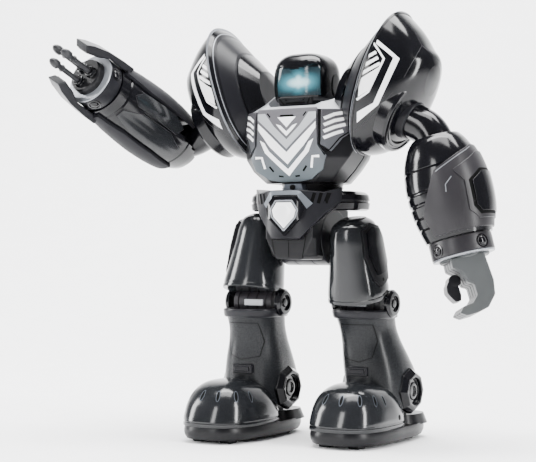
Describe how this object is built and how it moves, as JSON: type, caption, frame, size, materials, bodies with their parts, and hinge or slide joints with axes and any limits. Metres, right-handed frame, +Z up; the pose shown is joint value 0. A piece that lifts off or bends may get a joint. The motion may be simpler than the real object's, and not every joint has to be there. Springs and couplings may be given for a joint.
{
  "type": "walking robot toy",
  "caption": "Walking humanoid robot toy with oval shoulder cowls, a dart-launching forearm, a gripping hand, a light visor and wheeled striding feet.",
  "frame": {"origin": "on the floor, midway between the hip joints", "axes": "+Z up; the robot faces -Y, its own left is +X"},
  "size_m": [0.2987, 0.2075, 0.3124],
  "materials": {
    "gloss_black": "glossy moulded plastic",
    "gunmetal": "satin moulded plastic with metallic flake",
    "gloss_slate": "glossy moulded plastic",
    "silver_print": "metallic silver paint",
    "smoked_clear": "clear plastic",
    "eye_light": "light panel",
    "satin_hand": "satin grey plastic",
    "matte_black": "satin black plastic",
    "steel": "plain steel",
    "board_green": "circuit board",
    "speaker_black": "matte",
    "motor_metal": "plated can",
    "wheel_rubber": "matte rubber",
    "dart_foam": "soft plastic"
  },
  "bodies": {
    "pelvis": {"pelvis_front_shell": "gloss_black", "pelvis_rear_shell": "gloss_black", "belt_guard": "gunmetal", "emblem_lens": "smoked_clear", "hip_pins": "steel"},
    "torso": {"waist_post": "gloss_black", "chest_front_shell": "gloss_black", "chest_rear_shell": "gloss_black", "chest_panel": "silver_print", "chest_wings": "silver_print", "neck_collar": "silver_print", "battery_door": "gloss_black", "battery_cells": "steel", "circuit_board": "board_green", "speaker": "speaker_black", "case_screws": "steel", "cowl_inner_left": "gunmetal", "cowl_inner_right": "gunmetal", "cowl_outer_left": "gloss_black", "cowl_outer_right": "gloss_black"},
    "switch": {"power_switch": "gloss_black"},
    "head": {"helmet_shell": "gloss_black", "visor": "smoked_clear", "eye_panel": "eye_light", "neck_post": "gloss_black"},
    "upper_arm_left": {"upper_arm_left": "gloss_black"},
    "forearm_left": {"forearm_shell_left": "gloss_black", "forearm_armour_left": "gunmetal", "wrist_cuff_left": "gunmetal"},
    "hand_left": {"hand_left": "satin_hand"},
    "thumb_left": {"thumb_left": "matte_black"},
    "upper_arm_right": {"upper_arm_right": "gloss_black"},
    "blaster": {"blaster_shell": "gloss_black", "blaster_rails": "gunmetal", "blaster_cuff": "gunmetal", "blaster_barrel": "gunmetal"},
    "dart_1": {"dart_1": "dart_foam"},
    "dart_2": {"dart_2": "dart_foam"},
    "dart_3": {"dart_3": "dart_foam"},
    "thigh_left": {"thigh_shell_left": "gloss_slate", "thigh_armour_left": "gunmetal", "knee_pivot_left": "matte_black"},
    "shin_left": {"shin_front_left": "gloss_slate", "shin_rear_left": "gloss_slate", "ankle_pivot_left": "matte_black"},
    "foot_left": {"foot_shell_left": "gloss_slate", "foot_sole_left": "matte_black", "gear_motor_left": "motor_metal"},
    "wheels_left": {"drive_wheels_left": "wheel_rubber"},
    "thigh_right": {"thigh_shell_right": "gloss_slate", "thigh_armour_right": "gunmetal", "knee_pivot_right": "matte_black"},
    "shin_right": {"shin_front_right": "gloss_slate", "shin_rear_right": "gloss_slate", "ankle_pivot_right": "matte_black"},
    "foot_right": {"foot_shell_right": "gloss_slate", "foot_sole_right": "matte_black", "gear_motor_right": "motor_metal"},
    "wheels_right": {"drive_wheels_right": "wheel_rubber"}
  },
  "joints": [
    {"name": "waist_turn", "type": "hinge", "parent": "pelvis", "child": "torso", "pos_m": [0, 0, 0.184], "axis": [0, 0, 1], "range_deg": [-20, 20]},
    {"name": "head_turn", "type": "hinge", "parent": "torso", "child": "head", "pos_m": [0, -0.004, 0.243], "axis": [0, 0, 1], "range_deg": [-60, 60]},
    {"name": "power_switch_slide", "type": "slide", "parent": "torso", "child": "switch", "axis": [1, 0, 0], "range_m": [0, 0.007]},
    {"name": "shoulder_left", "type": "hinge", "parent": "torso", "child": "upper_arm_left", "pos_m": [0.08, -0.005, 0.2375], "axis": [-0.891, 0, 0.454], "range_deg": [-30, 115]},
    {"name": "elbow_left", "type": "hinge", "parent": "upper_arm_left", "child": "forearm_left", "pos_m": [0.1077, -0.005, 0.21104], "axis": [0, 1, 0], "range_deg": [0, 18]},
    {"name": "wrist_left", "type": "hinge", "parent": "forearm_left", "child": "hand_left", "pos_m": [0.12582, -0.005, 0.14343], "axis": [0.2588, 0, -0.9659], "range_deg": [-90, 90]},
    {"name": "thumb_left", "type": "hinge", "parent": "hand_left", "child": "thumb_left", "pos_m": [0.12241, -0.01188, 0.11819], "axis": [-0.554, 0.8192, -0.1485], "range_deg": [0, 40]},
    {"name": "shoulder_right", "type": "hinge", "parent": "torso", "child": "upper_arm_right", "pos_m": [-0.08, -0.005, 0.2375], "axis": [-0.891, 0, -0.454], "range_deg": [-85, 20]},
    {"name": "elbow_right", "type": "hinge", "parent": "upper_arm_right", "child": "blaster", "pos_m": [-0.11473, -0.01504, 0.22482], "axis": [-0.4147, 0.4067, 0.814], "range_deg": [-48, 6]},
    {"name": "dart_1_slide", "type": "slide", "parent": "blaster", "child": "dart_1", "axis": [-0.0905, -0.9085, 0.4079], "range_m": [0, 0.04]},
    {"name": "dart_2_slide", "type": "slide", "parent": "blaster", "child": "dart_2", "axis": [-0.0905, -0.9085, 0.4079], "range_m": [0, 0.04]},
    {"name": "dart_3_slide", "type": "slide", "parent": "blaster", "child": "dart_3", "axis": [-0.0905, -0.9085, 0.4079], "range_m": [0, 0.04]},
    {"name": "hip_left", "type": "hinge", "parent": "pelvis", "child": "thigh_left", "pos_m": [0.04, 0.002, 0.15], "axis": [-1, 0, 0], "range_deg": [-2, 28]},
    {"name": "knee_left", "type": "hinge", "parent": "thigh_left", "child": "shin_left", "pos_m": [0.04, 0.01331, 0.101], "axis": [-1, 0, 0], "range_deg": [-24, 1.9]},
    {"name": "ankle_left", "type": "hinge", "parent": "shin_left", "child": "foot_left", "pos_m": [0.0462, 0.02831, 0.036], "axis": [-1, 0, 0], "range_deg": [-4.4, 0.5]},
    {"name": "wheels_left_roll", "type": "hinge", "parent": "foot_left", "child": "wheels_left", "pos_m": [0.047, 0.03531, 0.006], "axis": [-1, 0, 0], "continuous": true},
    {"name": "hip_right", "type": "hinge", "parent": "pelvis", "child": "thigh_right", "pos_m": [-0.04, 0.002, 0.15], "axis": [-1, 0, 0], "range_deg": [-28, 2]},
    {"name": "knee_right", "type": "hinge", "parent": "thigh_right", "child": "shin_right", "pos_m": [-0.04, -0.00931, 0.101], "axis": [-1, 0, 0], "range_deg": [-1.9, 24]},
    {"name": "ankle_right", "type": "hinge", "parent": "shin_right", "child": "foot_right", "pos_m": [-0.0462, 0.00569, 0.036], "axis": [-1, 0, 0], "range_deg": [-0.5, 4.4]},
    {"name": "wheels_right_roll", "type": "hinge", "parent": "foot_right", "child": "wheels_right", "pos_m": [-0.047, 0.01269, 0.006], "axis": [-1, 0, 0], "continuous": true}
  ],
  "couplings": [
    {"joint": "hip_right", "follows": "hip_left", "ratio": -1},
    {"joint": "knee_left", "follows": "hip_left", "ratio": -0.85},
    {"joint": "ankle_left", "follows": "hip_left", "ratio": -0.15},
    {"joint": "knee_right", "follows": "hip_left", "ratio": 0.85},
    {"joint": "ankle_right", "follows": "hip_left", "ratio": 0.15}
  ]
}
